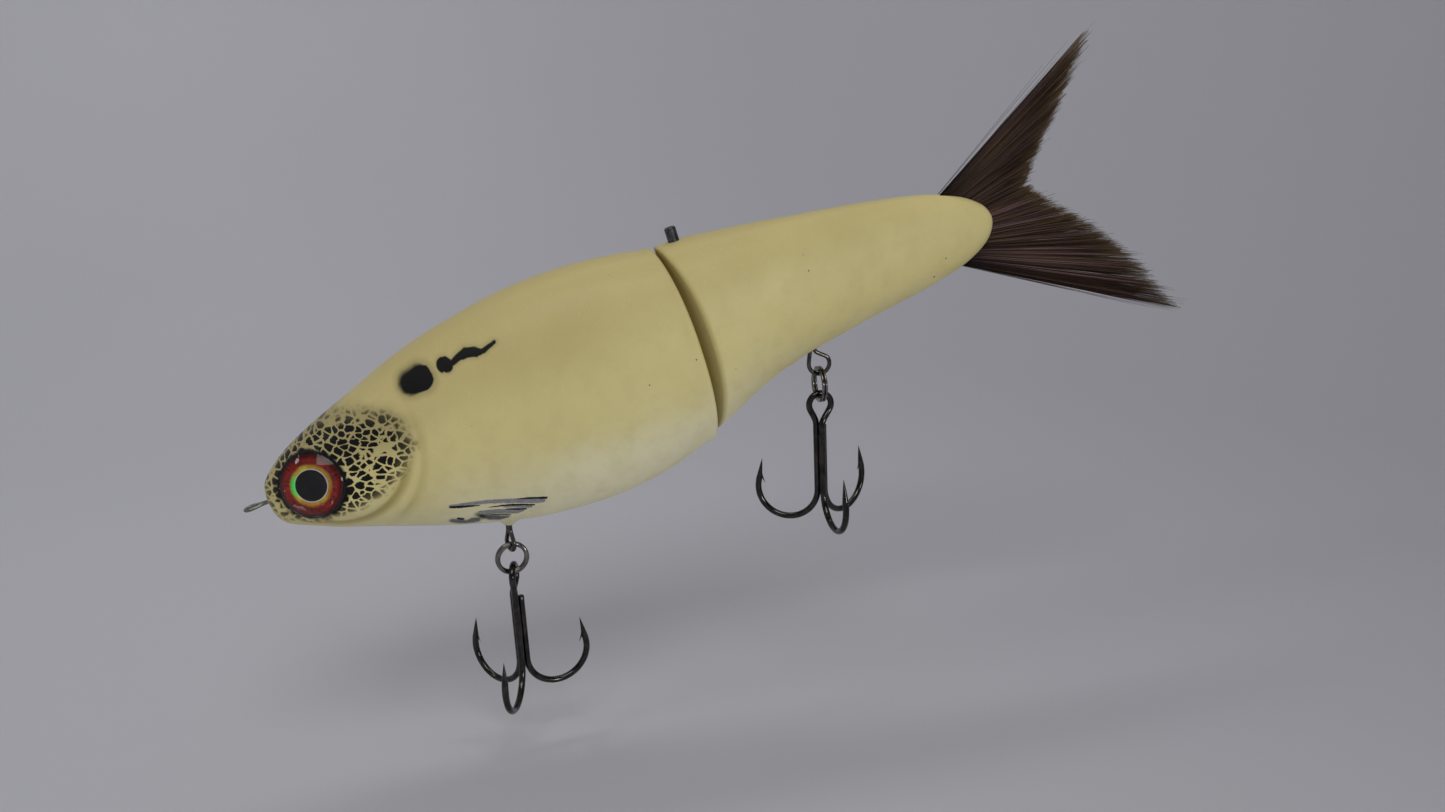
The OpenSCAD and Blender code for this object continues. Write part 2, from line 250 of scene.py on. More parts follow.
def rounded(path, radius, cap=5):
    """A path with extra points so that its swept ends are rounded; returns path and radii."""
    path = [np.asarray(p, float) for p in path]
    head = path[0] - path[1]
    tail = path[-1] - path[-2]
    head /= np.linalg.norm(head)
    tail /= np.linalg.norm(tail)
    turns = [math.pi / 2 * (k + 1) / (cap + 0.4) for k in range(cap)]
    before = [path[0] + head * radius * 0.6 * math.sin(a) for a in reversed(turns)]
    after = [path[-1] + tail * radius * 0.6 * math.sin(a) for a in turns]
    ends = [radius * math.cos(a) for a in turns]
    radii = ends[::-1] + [radius] * len(path) + ends
    return before + path + after, radii


def lathe(profile, segments=96):
    """A closed solid of revolution about Z from (radius, height) points, first and last on the axis."""
    verts, faces = [], []
    rings = []
    for r, z in profile:
        if r < 1e-6:
            rings.append([len(verts)])
            verts.append((0, 0, z))
            continue
        rings.append(list(range(len(verts), len(verts) + segments)))
        for i in range(segments):
            a = 2 * math.pi * i / segments
            verts.append((r * math.cos(a), r * math.sin(a), z))
    for low, high in zip(rings, rings[1:]):
        for i in range(segments):
            k = (i + 1) % segments
            if len(low) == 1:
                faces.append((low[0], high[k], high[i]))
            elif len(high) == 1:
                faces.append((low[i], low[k], high[0]))
            else:
                faces.append((low[i], low[k], high[k], high[i]))
    return verts, faces


def build(name, parts, matrix=Matrix.Identity(4), sharp=40):
    """One mesh object from parts in millimetres, smooth but for edges sharper than the angle given."""
    verts, faces = [], []
    for part_verts, part_faces in parts:
        base = len(verts)
        verts += [tuple(c * MM for c in v) for v in part_verts]
        faces += [tuple(base + i for i in f) for f in part_faces]
    mesh = bpy.data.meshes.new(name)
    mesh.from_pydata(verts, [], faces)
    mesh.validate()
    mesh.update()
    piece = bpy.data.objects.new(name, mesh)
    bpy.context.scene.collection.objects.link(piece)
    piece.matrix_world = matrix
    soften(piece, sharp)
    return piece


def dress(piece, material, body, node):
    """Gives a piece its material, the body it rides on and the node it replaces."""
    piece.data.materials.clear()
    piece.data.materials.append(material)
    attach(piece, body)
    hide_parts(node)


def soften(piece, sharp):
    piece.data.shade_smooth()
    piece.data.set_sharp_from_angle(angle=math.radians(sharp))


def carve(piece, cutters):
    """Cuts each cutter out of the piece, then deletes the cutters."""
    for cutter in cutters:
        cut = piece.modifiers.new("cut", "BOOLEAN")
        cut.operation = "DIFFERENCE"
        cut.solver = "EXACT"
        cut.object = cutter
    bpy.context.view_layer.update()
    graph = bpy.context.evaluated_depsgraph_get()
    result = bpy.data.meshes.new_from_object(piece.evaluated_get(graph))
    piece.modifiers.clear()
    old = piece.data
    piece.data = result
    bpy.data.meshes.remove(old)
    for cutter in cutters:
        bpy.data.objects.remove(cutter)


# ---------------------------------------------------------------- node helpers


class Term:
    """A node socket that can be used in plain arithmetic."""

    def __init__(self, graph, socket):
        self.graph = graph
        self.socket = socket

    def __add__(self, other):
        return self.graph.math("ADD", self, other)

    def __sub__(self, other):
        return self.graph.math("SUBTRACT", self, other)

    def __rsub__(self, other):
        return self.graph.math("SUBTRACT", other, self)

    def __mul__(self, other):
        return self.graph.math("MULTIPLY", self, other)

    def __truediv__(self, other):
        return self.graph.math("DIVIDE", self, other)

    __radd__ = __add__
    __rmul__ = __mul__


class Graph:
    """A material's node tree, with short calls for the nodes used here."""

    def __init__(self, name):
        self.material = bpy.data.materials.new(name)
        self.material.use_nodes = True
        self.tree = self.material.node_tree
        self.shader = next(n for n in self.tree.nodes if n.type == "BSDF_PRINCIPLED")

    def node(self, kind, **settings):
        made = self.tree.nodes.new(kind)
        for key, value in settings.items():
            setattr(made, key, value)
        return made

    def plug(self, socket, value):
        if isinstance(value, Term):
            self.tree.links.new(value.socket, socket)
        elif isinstance(value, (tuple, list)) and socket.type == "RGBA":
            socket.default_value = (*value, 1) if len(value) == 3 else value
        else:
            socket.default_value = value

    def math(self, operation, *values, clamp=False):
        made = self.node("ShaderNodeMath", operation=operation, use_clamp=clamp)
        for socket, value in zip(made.inputs, values):
            self.plug(socket, value)
        return Term(self, made.outputs[0])

    def least(self, *values):
        return functools.reduce(lambda a, b: self.math("MINIMUM", a, b), values)

    def most(self, *values):
        return functools.reduce(lambda a, b: self.math("MAXIMUM", a, b), values)

    def step(self, value, low, high):
        """Smooth step, 0 at low and 1 at high."""
        made = self.node("ShaderNodeMapRange", interpolation_type="SMOOTHSTEP")
        for socket, given in zip(made.inputs, (value, low, high, 0.0, 1.0)):
            self.plug(socket, given)
        return Term(self, made.outputs[0])

    def mix(self, factor, a, b):
        made = self.node("ShaderNodeMix", data_type="RGBA")
        self.plug(made.inputs[0], factor)
        self.plug(made.inputs[6], a)
        self.plug(made.inputs[7], b)
        return Term(self, made.outputs[2])

    def place(self, scale=1 / MM, stretch=(1, 1, 1)):
        """The piece's own coordinates, in millimetres unless scaled otherwise."""
        source = self.node("ShaderNodeTexCoord")
        made = self.node("ShaderNodeVectorMath", operation="MULTIPLY")
        self.tree.links.new(source.outputs["Object"], made.inputs[0])
        made.inputs[1].default_value = [scale * s for s in stretch]
        return Term(self, made.outputs[0])

    def split(self, vector):
        made = self.node("ShaderNodeSeparateXYZ")
        self.plug(made.inputs[0], vector)
        return [Term(self, s) for s in made.outputs]

    def join(self, x, y, z):
        made = self.node("ShaderNodeCombineXYZ")
        for socket, value in zip(made.inputs, (x, y, z)):
            self.plug(socket, value)
        return Term(self, made.outputs[0])

    def noise(self, vector, scale, detail=2.0, roughness=0.5):
        made = self.node("ShaderNodeTexNoise")
        self.fill(made, Vector=vector, Scale=scale, Detail=detail, Roughness=roughness)
        return Term(self, made.outputs[0])

    def cells(self, vector, scale, feature="F1"):
        """Voronoi distance and colour (colour only where the feature has one)."""
        made = self.node("ShaderNodeTexVoronoi", feature=feature)
        self.fill(made, Vector=vector, Scale=scale)
        distance = Term(self, made.outputs["Distance"])
        if feature == "DISTANCE_TO_EDGE":
            return distance, None
        return distance, Term(self, made.outputs["Color"])

    def attribute(self, name):
        made = self.node("ShaderNodeAttribute", attribute_name=name)
        return Term(self, made.outputs["Fac"])

    def bump(self, height, strength, distance):
        made = self.node("ShaderNodeBump")
        made.inputs["Strength"].default_value = strength
        made.inputs["Distance"].default_value = distance
        self.plug(made.inputs["Height"], height)
        self.tree.links.new(made.outputs[0], self.shader.inputs["Normal"])

    def fill(self, node, **values):
        """A node's inputs by name, with _ for a space."""
        for key, value in values.items():
            self.plug(node.inputs[key.replace("_", " ")], value)

    def set(self, **values):
        self.fill(self.shader, **values)


def capsule(g, u, w, start, end, r0, r1):
    """Signed distance to a tapered stroke from start to end, in the side view."""
    du, dw = end[0] - start[0], end[1] - start[1]
    pu, pw = u - start[0], w - start[1]
    share = g.math("MULTIPLY", pu * du + pw * dw, 1 / (du * du + dw * dw), clamp=True)
    ou, ow = pu - share * du, pw - share * dw
    length = g.math("SQRT", ou * ou + ow * ow)
    return length - (share * (r1 - r0) + r0)


def stroke(g, u, w, points):
    """Distance to a stroke through (u, w, radius) points."""
    parts = []
    for a, b in zip(points, points[1:]):
        parts.append(capsule(g, u, w, a[:2], b[:2], a[2], b[2]))
    return g.least(*parts)


# ---------------------------------------------------------------- paint

BLACK = (0.006, 0.006, 0.006)
OVERSPRAY = (0.075, 0.062, 0.035)
CREAM_BELLY = (0.90, 0.85, 0.56)
CREAM_FLANK = (0.78, 0.68, 0.30)
# Back cream: olive paint, made darker still as painted shade on the upper body
CREAM_BACK_WITH_SHADE = (0.60, 0.50, 0.21)
# Painted shade colour for the gill crease and beside the joint gap
CREASE_SHADE = (0.46, 0.37, 0.12)
FIN_GREY = (0.24, 0.24, 0.25)
FIN_SILVER = (0.42, 0.42, 0.44)
FIN_DARK = (0.07, 0.07, 0.07)

# Gill lines: radius from the gill centre, then its growth with the angle
GILL_CENTRE = (17, 7)
CHEEK_LINE = (22.6, 4.3)
COVER_LINE = (26, 2.4)

# Painted marks: strokes of (u, w, radius)
SHOULDER_BLOT = [(46.4, 19.9, 2.7), (49.4, 20.3, 3.1)]
SHOULDER_DOT = [(56.1, 21.6, 1.85), (56.5, 21.3, 1.7)]
SHOULDER_STREAK = [
    (57.6, 21.2, 0.5), (60.3, 22.2, 0.85), (62.6, 22.7, 1.2), (64.6, 22.1, 1.15),
    (66.6, 21.8, 0.65), (68.4, 22.4, 0.4), (70.1, 22.9, 0.32),
]
FIN_RAYS = [
    [(44, -14.6, 0.35), (48.3, -15.7, 0.5), (53.4, -17.1, 0.6), (57.6, -18.7, 0.7), (61.9, -20.5, 0.8),
     (65.4, -22.1, 0.95), (67, -22.8, 0.7)],
    [(56.8, -20.6, 0.15), (59.8, -21.7, 0.45), (62, -22.9, 0.55), (63.5, -23.6, 0.35)],
    [(50.4, -19.7, 0.4), (53.7, -21, 0.75), (57, -22.5, 0.95), (59.6, -23.8, 0.7), (61, -24, 0.4)],
]
FIN_SHADES = [
    [(50.3, -21.3, 0.6), (52.4, -23, 1.1), (54.4, -24.2, 0.9), (56.5, -24.7, 0.4)],
    [(42.6, -20.0, 0.7), (44.3, -21.2, 0.95), (46, -22.2, 0.7), (47.6, -22.2, 1.15), (48.5, -22.4, 1.0)],
]
FIN_LINES = [
    [(43.8, -15.0, 0.36), (45.9, -15.8, 0.42), (48.8, -16.7, 0.32), (51.1, -17.4, 0.14)],
    [(60.8, -19.3, 0.14), (64.2, -20.6, 0.34), (66.3, -21.5, 0.36), (68.1, -22.3, 0.4)],
    [(53.2, -19.1, 0.14), (56.4, -19.9, 0.28), (58.6, -20.6, 0.34), (61.4, -21.8, 0.34), (64.4, -23.3, 0.28)],
    [(57.2, -21.6, 0.2), (59.5, -22.7, 0.36), (61.9, -23.8, 0.3)],
    [(51.6, -20.9, 0.12), (54.2, -22.6, 0.24), (57.4, -24.2, 0.2)],
    [(44.3, -19.7, 0.4), (45.3, -20.4, 0.45)],
]
FIN_SMUDGE = [(49.6, -20.4, 0.5), (50.4, -21.6, 0.8)]


def cream(g, place, w):
    """Cream colour: paler below, darker and more olive along the back, slightly blotchy; the darker back is
    partly the paint's own tone and partly painted shade.
    """
    wide = g.noise(place, 0.035, 3)
    level = w + (wide - 0.5) * 22
    colour = g.mix(g.step(level, -28, 0), CREAM_BELLY, CREAM_FLANK)
    # Towards the back: olive paint, darkened partly as painted shade
    colour = g.mix(g.step(level, 0, 28), colour, CREAM_BACK_WITH_SHADE)
    mottle = g.step(g.noise(place, 0.16, 4, 0.6), 0.42, 0.72)
    colour = g.mix(mottle * 0.22, colour, CREAM_BACK_WITH_SHADE)
    fine = g.step(g.noise(place, 1.1, 3, 0.7), 0.55, 0.75)
    return g.mix(fine * 0.12, colour, CREAM_BELLY)


def pinholes(g, place, colour, share):
    """Tiny dark pinholes in the paint; share is how many cells hold one."""
    distance, tint = g.cells(place, 0.21)
    red, green, _ = g.split(tint)
    chosen = g.step(red, 1 - share - 0.01, 1 - share)
    size = green * 0.045 + 0.035
    hole = 1 - g.step(distance, size * 0.6, size)
    return g.mix(hole * chosen * 0.85, colour, OVERSPRAY)


def finish_paint(g, place, colour):
    """Satin paint with a thin clear coat and a faint brushed-on texture."""
    ripple = g.noise(place, 0.55, 3, 0.55)
    grain = g.noise(place, 3.2, 2, 0.5)
    smear = g.noise(place, 0.12, 3)
    rough = smear * 0.14 + grain * 0.05 + 0.34
    g.set(Base_Color=colour, Roughness=rough, IOR=1.42, Coat_Weight=0.03, Coat_Roughness=0.22)
    g.set(Specular_IOR_Level=0.22)
    g.bump(ripple * 0.8 + grain * 0.2, *PAINT_BUMP)


def head_pattern(g, place, u, flank, w, colour):
    """Rounded black spots parted by cream gaps behind the eye, blurring towards the edge."""
    wobble = g.noise(place, 0.6, 3, 0.6) - 0.5
    cell_place = g.join(u * 0.94 + wobble * 1.6, flank * 0.4, w * 1.12 - wobble * 1.4)
    edge, _ = g.cells(cell_place, 0.49, "DISTANCE_TO_EDGE")
    centre, tint = g.cells(cell_place, 0.49)
    size, _, _ = g.split(tint)
    level = edge - centre * 0.14 + (size - 0.5) * 0.05 + wobble * 0.06
    du = (u - 21) / 21.5
    dw = (w - 5.5 - (u - 21) * 0.12) / 12.6
    reach = g.math("SQRT", du * du + dw * dw) + (g.noise(place, 0.22, 3) - 0.5) * 0.22
    blur = g.step(reach, 0.7, 1.08)
    middle = blur * 0.04 + 0.03
    soft = blur * 0.17 + 0.026
    inside = g.step(level, middle - soft, middle + soft)
    mask = 1 - g.step(reach, 0.9, 1.08)
    haze = (1 - g.step(reach, 0.88, 1.2)) * g.step(w, 0, 12)
    colour = g.mix(haze * 0.45, colour, (0.16, 0.13, 0.07))
    return g.mix(inside * mask * (1 - blur * 0.25), colour, BLACK)


def eye_ring(g, place, u, flank, w, colour):
    """Black paint round the eye, soft at its edge."""
    cu, cv, cw = EYE_CENTRE
    pu, pv, pw = u - cu, flank + cv, w - cw
    nu = -math.cos(EYE_TILT) * math.sin(EYE_YAW)
    nv = math.cos(EYE_TILT) * math.cos(EYE_YAW)
    nw = math.sin(EYE_TILT)
    along = pu * nu + pv * nv + pw * nw
    spread = pu * pu + pv * pv + pw * pw - along * along
    radius = g.math("SQRT", g.most(spread, 0.0)) + (g.noise(place, 0.3, 3) - 0.5) * 1.6
    spill = g.step(g.noise(place, 0.45, 3, 0.6), 0.42, 0.6) * g.step(pu, 2.5, -3.5)
    colour = g.mix((1 - g.step(radius, 9.4, 11.8)) * spill * 0.9, colour, BLACK)
    return g.mix(1 - g.step(radius, 9.0, 9.9), colour, BLACK)


def gill_crease_shade(g, u, w, colour):
    """Painted shade: darker olive gathered in the crease behind the cheek and along the gill cover."""
    pu, pw = u - GILL_CENTRE[0], w - GILL_CENTRE[1]
    radius = g.math("SQRT", pu * pu + pw * pw)
    angle = g.math("ARCTAN2", pw, pu)
    inner = radius - (angle * CHEEK_LINE[1] + CHEEK_LINE[0])
    outer = radius - (angle * COVER_LINE[1] + COVER_LINE[0])
    low = g.step(angle, 0.05, -0.5)
    inner_shade = g.step(inner, -0.7, 0.6) * (1 - g.step(inner, 0.8, 3.2)) * low
    level = g.step(angle, 0.5, -0.1) * g.step(angle, -1.35, -0.75)
    outer_shade = g.step(outer, -0.5, 0.7) * (1 - g.step(outer, 0.8, 3.4)) * level
    front = g.step(g.math("ABSOLUTE", u), 8, 14)
    return g.mix((inner_shade * 0.8 + outer_shade * 0.3) * front, colour, CREASE_SHADE)


def shoulder_marks(g, place, u, w, colour):
    """Soft blot, dot and streak high on each shoulder."""
    wobble = g.noise(place, 0.5, 3, 0.6) - 0.5
    su, sw = u + wobble * 0.9, w + wobble * 0.8
    blot = stroke(g, su, sw, SHOULDER_BLOT)
    crisp = g.least(stroke(g, su, sw, SHOULDER_DOT), stroke(g, su, sw, SHOULDER_STREAK))
    soft_side = g.step(u - w * 0.6, 38.5, 34)
    haze = (1 - g.step(g.least(blot, crisp + 0.9), 0.0, 2.4)) * 0.34
    colour = g.mix(haze, colour, OVERSPRAY)
    edge = soft_side * 0.7 + 0.28
    colour = g.mix(1 - g.step(blot, edge * -0.6, edge), colour, BLACK)
    return g.mix(1 - g.step(crisp, -0.1, 0.32), colour, BLACK)


def fin_strokes(g, place, u, w, colour):
    """Silver fin rays with broken black edges over grey smudges."""
    wobble = g.noise(place, 1.4, 2, 0.6) - 0.5
    su, sw = u + wobble * 0.25, w + wobble * 0.35
    shades = g.least(*[stroke(g, su, sw, s) for s in FIN_SHADES])
    lines = g.least(*[stroke(g, su, sw, s) for s in FIN_LINES])
    rays = g.least(*[stroke(g, su, sw, s) for s in FIN_RAYS])
    smudge = stroke(g, su, sw, FIN_SMUDGE)
    streaky = g.noise(g.join(u * 0.5, w * 3.2, 0.0), 0.9, 3, 0.7)
    silver = g.mix(g.step(streaky, 0.35, 0.7), FIN_GREY, FIN_SILVER)
    dark = g.mix(g.step(streaky, 0.3, 0.7), FIN_DARK, FIN_GREY)
    colour = g.mix((1 - g.step(shades, -0.3, 1.2)) * 0.25, colour, OVERSPRAY)
    colour = g.mix(1 - g.step(shades, -0.35, 0.4), colour, dark)
    colour = g.mix((1 - g.step(smudge, -0.6, 1.1)) * 0.8, colour, BLACK)
    colour = g.mix(1 - g.step(rays, -0.12, 0.18), colour, silver)
    return g.mix(1 - g.step(lines, -0.14, 0.12), colour, BLACK)


def front_paint():
    g = Graph("front_paint")
    place = g.place()
    u, y, w = g.split(place)
    flank = g.math("ABSOLUTE", y)
    colour = cream(g, place, w)
    colour = gill_crease_shade(g, u, w, colour)
    colour = head_pattern(g, place, u, flank, w, colour)
    colour = eye_ring(g, place, u, flank, w, colour)
    colour = shoulder_marks(g, place, u, w, colour)
    side = g.step(flank, 3.0, 4.5)
    painted = fin_strokes(g, place, u, w, colour)
    colour = g.mix(side, colour, painted)
    colour = pinholes(g, place, colour, 0.10)
    # Painted shade: darker band on the rounded end beside the joint gap
    seam = g.step(u - flank * flank * FRONT_BOW, FRONT_FACE - 1.2, FRONT_FACE + 0.2)
    colour = g.mix(seam * 0.45, colour, CREASE_SHADE)
    finish_paint(g, place, colour)
    return g.material


def tail_paint():
    g = Graph("tail_paint")
    place = g.place()
    u, y, w = g.split(place)
    flank = g.math("ABSOLUTE", y)
    colour = cream(g, place, w)
    share = g.step(u, 170, 214) * 0.22 + 0.10
    colour = pinholes(g, place, colour, share)
    # Painted shade: darker band on the tail's rounded face beside the joint gap
    seam = g.step(u - flank * flank * TAIL_BOW, TAIL_FACE + 1.6, TAIL_FACE + 0.1)
    colour = g.mix(seam * 0.5, colour, CREASE_SHADE)
    finish_paint(g, place, colour)
    return g.material


# ---------------------------------------------------------------- other materials


def metal(name, dark, light, rough, grain=0.9, bump=0.2):
    """Drawn or plated wire: slightly cloudy tone, uneven polish and fine scratches."""
    g = Graph(name)
    place = g.place()
    cloud = g.noise(place, grain * 0.45, 3, 0.55)
    scratch = g.noise(g.place(stretch=(3, 3, 0.6)), 2.4, 3, 0.7)
    colour = g.mix(g.step(cloud, 0.3, 0.72), dark, light)
    g.set(Base_Color=colour, Metallic=1.0, Roughness=cloud * rough * 0.5 + scratch * 0.05 + rough * 0.35)
    g.bump(scratch * 0.5 + cloud * 0.5, bump, 0.00003)
    return g.material


def clouded(name, tones, rough, noise, span, bump, metallic=0.0):
    """A dull surface with a cloudy tone; rough is (share, base) and bump is (strength, distance)."""
    g = Graph(name)
    cloud = g.noise(g.place(), *noise)
    colour = g.mix(g.step(cloud, *span), *tones)
    g.set(Base_Color=colour, Metallic=metallic, Roughness=cloud * rough[0] + rough[1])
    g.bump(cloud, *bump)
    return g.material


def lead_material():
    tones = (0.16, 0.165, 0.18), (0.33, 0.34, 0.36)
    return clouded("cast_lead", tones, (0.4, 0.35), (0.7, 5, 0.65), (0.3, 0.7), (0.6, 0.0003), 0.9)


def filler_material():
    tones = (0.62, 0.56, 0.38), (0.82, 0.77, 0.6)
    return clouded("sanded_filler", tones, (0.2, 0.6), (1.6, 5, 0.7), (0.3, 0.75), (0.4, 0.0002))


def glue_material():
    g = Graph("anchor_glue")
    place = g.place()
    threads = g.noise(g.place(stretch=(0.3, 4, 1)), 1.8, 4, 0.7)
    colour = g.mix(g.step(threads, 0.3, 0.7), (0.012, 0.008, 0.006), (0.06, 0.04, 0.03))
    g.set(Base_Color=colour, Roughness=g.noise(place, 1.2, 3) * 0.3 + 0.18)
    g.bump(threads, 0.5, 0.0003)
    return g.material


def foil_material(side):
    """Holographic eye print: pupil, bright ring, amber to dark red iris with radial threads."""
    g = Graph(f"eye_print_{side}")
    place = g.place()
    x, y, _ = g.split(place)
    radius = g.math("SQRT", x * x + y * y)
    angle = g.math("ARCTAN2", y, x)
    cosine, sine = g.math("COSINE", angle), g.math("SINE", angle)
    spokes = g.noise(g.join(cosine * 9, sine * 9, radius * 0.35), 1.1, 4, 0.7)
    cloud = g.noise(place, 0.42, 3, 0.6)
    patch = g.noise(g.join(cosine * 1.6, sine * 1.6, 3.0), 1.0, 2)
    shifted = radius + (cloud - 0.5) * 1.1
    green_side = g.step(g.math("COSINE", angle + 0.2), -0.72, -0.98)
    iris = g.mix(g.step(spokes * 0.6 + cloud * 0.4, 0.38, 0.62), (0.05, 0.003, 0.002), (0.25, 0.008, 0.003))
    iris = g.mix(g.step(spokes, 0.55, 0.72) * 0.55, iris, (0.40, 0.04, 0.006))
    amber = g.mix(g.step(patch, 0.35, 0.65), (0.38, 0.16, 0.012), (0.50, 0.36, 0.03))
    amber = g.mix(green_side, amber, (0.08, 0.55, 0.06))
    colour = g.mix(g.step(shifted, 4.6, 5.7), amber, iris)
    colour = g.mix(g.step(shifted, 6.6, 8.2), colour, (0.022, 0.002, 0.002))
    pale = g.mix(g.step(patch, 0.4, 0.6), (0.35, 0.50, 0.55), (0.52, 0.56, 0.36))
    pale = g.mix(green_side, pale, (0.12, 0.7, 0.25))
    ring = g.step(radius, 3.9, 4.05) * (1 - g.step(radius, 4.1, 4.32))
    colour = g.mix(ring, colour, pale)
    colour = g.mix(g.step(radius, 7.9, 8.3), colour, (0.004, 0.003, 0.003))
    colour = g.mix(1 - g.step(radius, 3.88, 4.0), colour, (0.002, 0.002, 0.002))
    lit = g.step(radius, 3.9, 4.1) * (1 - g.step(radius, 7.6, 8.3))
    g.set(Base_Color=colour, Metallic=lit * 0.25, Roughness=0.5 - lit * 0.12, Specular_IOR_Level=0.06)
    g.bump(spokes * lit, 0.4, 0.0001)
    return g.material


def lens_material():
    g = Graph("eye_resin")
    place = g.place()
    haze = g.noise(place, 0.5, 3)
    g.set(Base_Color=g.mix(haze, (0.97, 0.98, 1.0), (1.0, 1.0, 0.98)), Roughness=haze * 0.03 + 0.01)
    g.set(IOR=1.33, Transmission_Weight=1.0, Specular_IOR_Level=0.12)
    g.bump(g.noise(place, 0.25, 2), 0.05, 0.0002)
    return g.material


def bristle_material(name, cool):
    """Dark brown fibre, mauve or tan by strand, almost black at the root and olive at the tip."""
    g = Graph(name)
    tone = g.attribute("tone")
    reach = g.attribute("reach")
    place = g.place()
    colour = g.mix(g.step(tone, 0.05, 0.4), (0.005, 0.003, 0.003), (0.058, 0.030, 0.024))
    colour = g.mix(g.step(tone, 0.42, 0.56), colour, (0.125, 0.078, 0.040))
    colour = g.mix(g.step(tone, 0.60, 0.82), colour, cool)
    tip = g.step(reach + (tone - 0.5) * 0.12, 0.8, 1.02)
    colour = g.mix(tip * 0.7, colour, (0.24, 0.165, 0.075))
    root = 1 - g.step(reach, 0.22, 0.56)
    colour = g.mix(root * 0.84, colour, (0.006, 0.004, 0.003))
    along = g.noise(place, 1.3, 3, 0.6)
    colour = g.mix(g.step(along, 0.5, 0.8) * 0.25, colour, (0.18, 0.12, 0.10))
    g.set(Base_Color=colour, Roughness=along * 0.25 + 0.3)
    g.set(Specular_IOR_Level=0.12)
    return g.material


def floor_material():
    g = Graph("studio_sweep")
    place = g.place()
    cloud = g.noise(place, 0.004, 3)
    x, y, z = g.split(place)
    # Painted light falloff: the sweep is lighter on the left and darker towards the right
    side = g.step(x + (cloud - 0.5) * 60, -260, 420)
    colour = g.mix(side, (0.62, 0.62, 0.645), (0.52, 0.515, 0.545))
    g.set(Base_Color=colour, Roughness=cloud * 0.1 + 0.55, Specular_IOR_Level=0.25)
    g.bump(g.noise(place, 0.02, 3), 0.05, 0.002)
    return g.material


# ---------------------------------------------------------------- body skins


def cap_parameter(u, start):
    return np.sqrt(np.abs(u - start))


def gill_relief(u, w):
    """Raised cheek and gill cover, each ending in a soft step, with a crease behind the cheek."""
    pu, pw = u - GILL_CENTRE[0], w - GILL_CENTRE[1]
    radius = np.hypot(pu, pw)
    angle = np.arctan2(pw, pu)
    inner = radius - (CHEEK_LINE[0] + CHEEK_LINE[1] * angle)
    outer = radius - (COVER_LINE[0] + COVER_LINE[1] * angle)
    low = rise(angle, 0.1, -0.35) * rise(angle, -2.1, -1.5)
    level = rise(angle, 0.45, -0.05) * rise(angle, -1.5, -0.7)
    cheek = 0.5 * rise(inner, -9, -1.2) * (1 - rise(inner, -0.5, 0.9))
    crease = -0.42 * np.exp(-(((inner - 1.5) / 1.3) ** 2))
    cover = 0.55 * rise(outer, -5, -0.6) * (1 - rise(outer, -0.5, 0.8))
    return (cheek + crease) * low + cover * level


def hand_shaping(u, y, w):
    """Slow hand-sanded waviness of the surface."""
    a = np.sin(u * 0.21 + w * 0.13) * np.sin(w * 0.17 - u * 0.05 + y * 0.2)
    b = np.sin(u * 0.083 - w * 0.22 + 1.7 + np.sign(y) * 0.6)
    return 0.05 * a + 0.05 * b


def hanger_boss(u, y):
    """Small built-up collar where the front hanger leaves the belly."""
    return COLLAR_H * np.exp(-(np.hypot(u - COLLAR_U, y) / COLLAR_R) ** 2)


def relieve_front(grid):
    u, y, w = grid[..., 0], grid[..., 1], grid[..., 2]
    amount = gill_relief(u, w) * rise(np.abs(y), 1.5, 5)
    amount = amount + hand_shaping(u, y, w) * rise(u, 2, 20)
    amount = amount + hanger_boss(u, y) * rise(-w, 10, 20)
    amount[-24:] *= 0
    return grid + grid_normals(grid) * amount[..., None]


def relieve_tail(grid):
    u, y, w = grid[..., 0], grid[..., 1], grid[..., 2]
    amount = hand_shaping(u, y, w) * (1 - rise(u, 195, 210))
    amount[:24] *= 0
    return grid + grid_normals(grid) * amount[..., None]


def front_rows():
    """Rings of the front section from nose to joint face."""
    seam = FRONT_FACE - 3.4
    knots = NOSE_CAP + FRONT + [(seam, *FRONT_END)]
    start = NOSE_CAP[0][0]
    at = spline([cap_parameter(k[0], start) for k in knots], [k[1:] for k in knots])
    t = np.concatenate([
        np.linspace(0.06, cap_parameter(58, start), 190),
        np.linspace(cap_parameter(58.6, start), cap_parameter(seam, start), 80),
    ])
    values = at(t)
    u = t * t + start
    bow = FRONT_BOW * rise(u, 108, FRONT_FACE)
    rows = [(a, *v, b) for a, v, b in zip(u, values, bow)]
    low, high, half = FRONT_END
    fillet = 1.7
    rows += [(a, low, high, half, FRONT_BOW) for a in np.linspace(seam + 0.5, FRONT_FACE - fillet, 4)]
    for q in np.linspace(0.12, 1, 9) * math.pi / 2:
        inset = fillet * (1 - math.cos(q))
        u_q = FRONT_FACE - fillet * (1 - math.sin(q))
        rows.append((u_q, low + inset, high - inset, half - inset, FRONT_BOW))
    for narrow in np.linspace(0.93, 0.02, 11):
        inset = fillet + (1 - narrow) * 1.0
        rows.append((FRONT_FACE, low + inset, high - inset, (half - fillet) * narrow, FRONT_BOW))
    return rows


